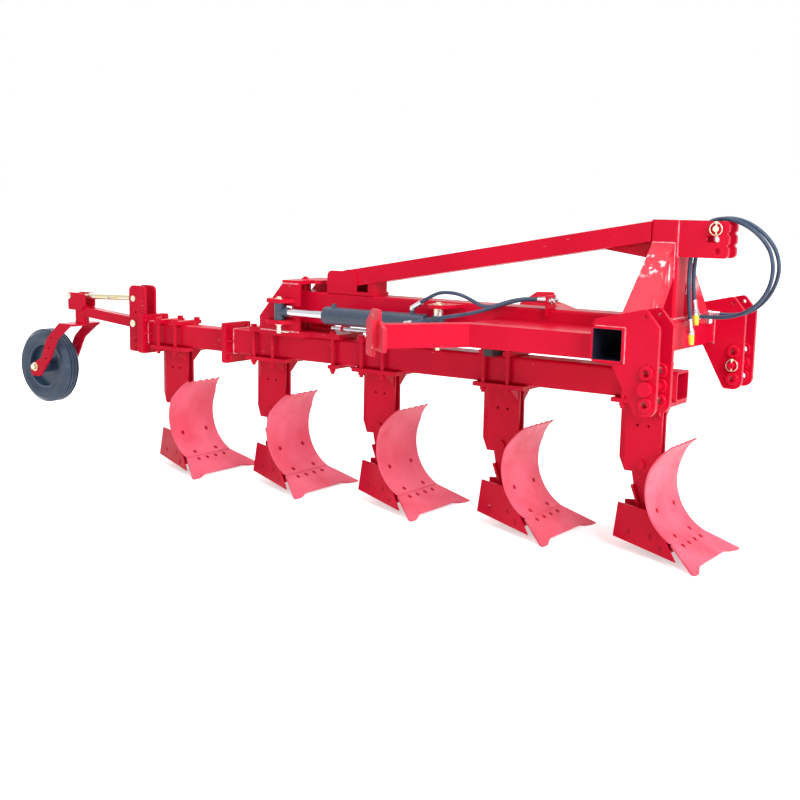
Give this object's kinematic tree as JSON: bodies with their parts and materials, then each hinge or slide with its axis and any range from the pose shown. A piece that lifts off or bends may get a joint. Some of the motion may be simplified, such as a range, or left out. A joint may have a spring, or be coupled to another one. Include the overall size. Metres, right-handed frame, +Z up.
{
  "type": "reversible plough",
  "caption": "Three-point-linkage reversible plough: a headstock carries a beam of symmetrical plough bodies that a hydraulic cylinder swings from side to side, with a castor depth wheel.",
  "frame": {"origin": "bottom centre of the bounding box, on the ground below the middle of the machine", "axes": "+X forwards towards the tractor, +Y to the left, +Z up"},
  "size_m": [4.6303, 1.6828, 1.4574],
  "materials": {
    "red_paint": "gloss enamel",
    "black_paint": "satin enamel",
    "bright_bar": "ground and plated",
    "zinc": "zinc plated",
    "stop_rubber": "matt",
    "tyre_rubber": "ribbed tread",
    "yellow_plastic": "moulded",
    "hose_rubber": "wire-braided cover"
  },
  "bodies": {
    "frame": {"cross_tube": "red_paint", "mast": "red_paint", "mast_braces": "red_paint", "lower_link_brackets": "red_paint", "lower_link_pins": "zinc", "linch_pins": "zinc", "top_link_plates": "red_paint", "top_link_pin": "zinc", "central_beam": "red_paint", "backstay": "red_paint", "backstay_bracket": "red_paint", "swing_arms": "red_paint", "stop_plates": "red_paint", "cylinder_base_lugs": "red_paint", "stay_rod": "bright_bar", "hose_fittings": "zinc", "tractor_hose_near": "hose_rubber", "tractor_hose_far": "hose_rubber", "hose_couplers": "zinc", "dust_caps": "yellow_plastic", "cylinder_hose_upper": "hose_rubber", "cylinder_hose_lower": "hose_rubber"},
    "swing_beam": {"pivot_pin": "red_paint", "swing_base_plate": "red_paint", "swing_fork": "red_paint", "rod_lugs": "red_paint", "rod_pin": "zinc", "stop_block": "stop_rubber", "plough_beam": "red_paint", "extension_beam": "red_paint", "beam_flanges": "red_paint", "clamps": "red_paint", "legs": "red_paint", "frogs": "red_paint", "side_plates": "red_paint", "mouldboard_1": "red_paint", "mouldboard_2": "red_paint", "mouldboard_3": "red_paint", "mouldboard_4": "red_paint", "mouldboard_5": "red_paint", "share_1": "red_paint", "share_2": "red_paint", "share_3": "red_paint", "share_4": "red_paint", "share_5": "red_paint", "wheel_uprights": "red_paint", "wheel_pins": "zinc"},
    "cylinder_rod": {"rod_eye": "black_paint", "piston_rod": "bright_bar"},
    "cylinder_barrel": {"cylinder_barrel": "black_paint", "cylinder_base_pin": "zinc", "cylinder_fittings": "zinc"},
    "wheel_arm": {"wheel_arm": "red_paint"},
    "turnbuckle_front": {"turnbuckle_front_eye": "zinc"},
    "turnbuckle_sleeve": {"turnbuckle_sleeve": "red_paint"},
    "turnbuckle_rear": {"turnbuckle_rear_screw": "zinc"},
    "castor": {"castor_fork": "red_paint", "wheel_axle": "zinc"},
    "wheel": {"wheel_rim": "black_paint", "tyre": "tyre_rubber"}
  },
  "joints": [
    {"name": "beam_swing", "type": "hinge", "parent": "frame", "child": "swing_beam", "pos_m": [-0.0265, 0, 0.95], "axis": [0, 0, 1], "range_deg": [-30, 30], "deforming": ["cylinder_hose_upper", "cylinder_hose_lower"]},
    {"name": "rod_pivot", "type": "hinge", "parent": "swing_beam", "child": "cylinder_rod", "pos_m": [-0.0435, -0.185, 0.931], "axis": [0, 0, 1], "range_deg": [-30, 30]},
    {"name": "cylinder_stroke", "type": "slide", "parent": "cylinder_rod", "child": "cylinder_barrel", "axis": [1, 0, 0], "range_m": [-0.094, 0.094]},
    {"name": "wheel_arm_pitch", "type": "hinge", "parent": "swing_beam", "child": "wheel_arm", "pos_m": [-1.2385, 0, 0.775], "axis": [0, 1, 0], "range_deg": [-10, 10]},
    {"name": "turnbuckle_pivot", "type": "hinge", "parent": "swing_beam", "child": "turnbuckle_front", "pos_m": [-1.2305, 0, 0.917], "axis": [0, 1, 0], "range_deg": [-10, 10]},
    {"name": "sleeve_spin", "type": "hinge", "parent": "turnbuckle_front", "child": "turnbuckle_sleeve", "pos_m": [-1.47538, 0, 0.90929], "axis": [-0.9995, 0, -0.0315], "continuous": true},
    {"name": "turnbuckle_screw", "type": "slide", "parent": "turnbuckle_front", "child": "turnbuckle_rear", "axis": [-0.9995, 0, -0.0315], "range_m": [-0.025, 0.025]},
    {"name": "castor_swivel", "type": "hinge", "parent": "wheel_arm", "child": "castor", "pos_m": [-1.7185, 0, 0.79], "axis": [0, 0, 1], "range_deg": [-120, 120]},
    {"name": "wheel_spin", "type": "hinge", "parent": "castor", "child": "wheel", "pos_m": [-2.0175, 0, 0.463], "axis": [0, 1, 0], "continuous": true}
  ],
  "couplings": [
    {"joint": "rod_pivot", "follows": "beam_swing", "ratio": -0.982},
    {"joint": "cylinder_stroke", "follows": "beam_swing", "m_per_rad": -0.178},
    {"joint": "turnbuckle_pivot", "follows": "wheel_arm_pitch", "ratio": 0.98},
    {"joint": "turnbuckle_screw", "follows": "wheel_arm_pitch", "m_per_rad": -0.141}
  ]
}
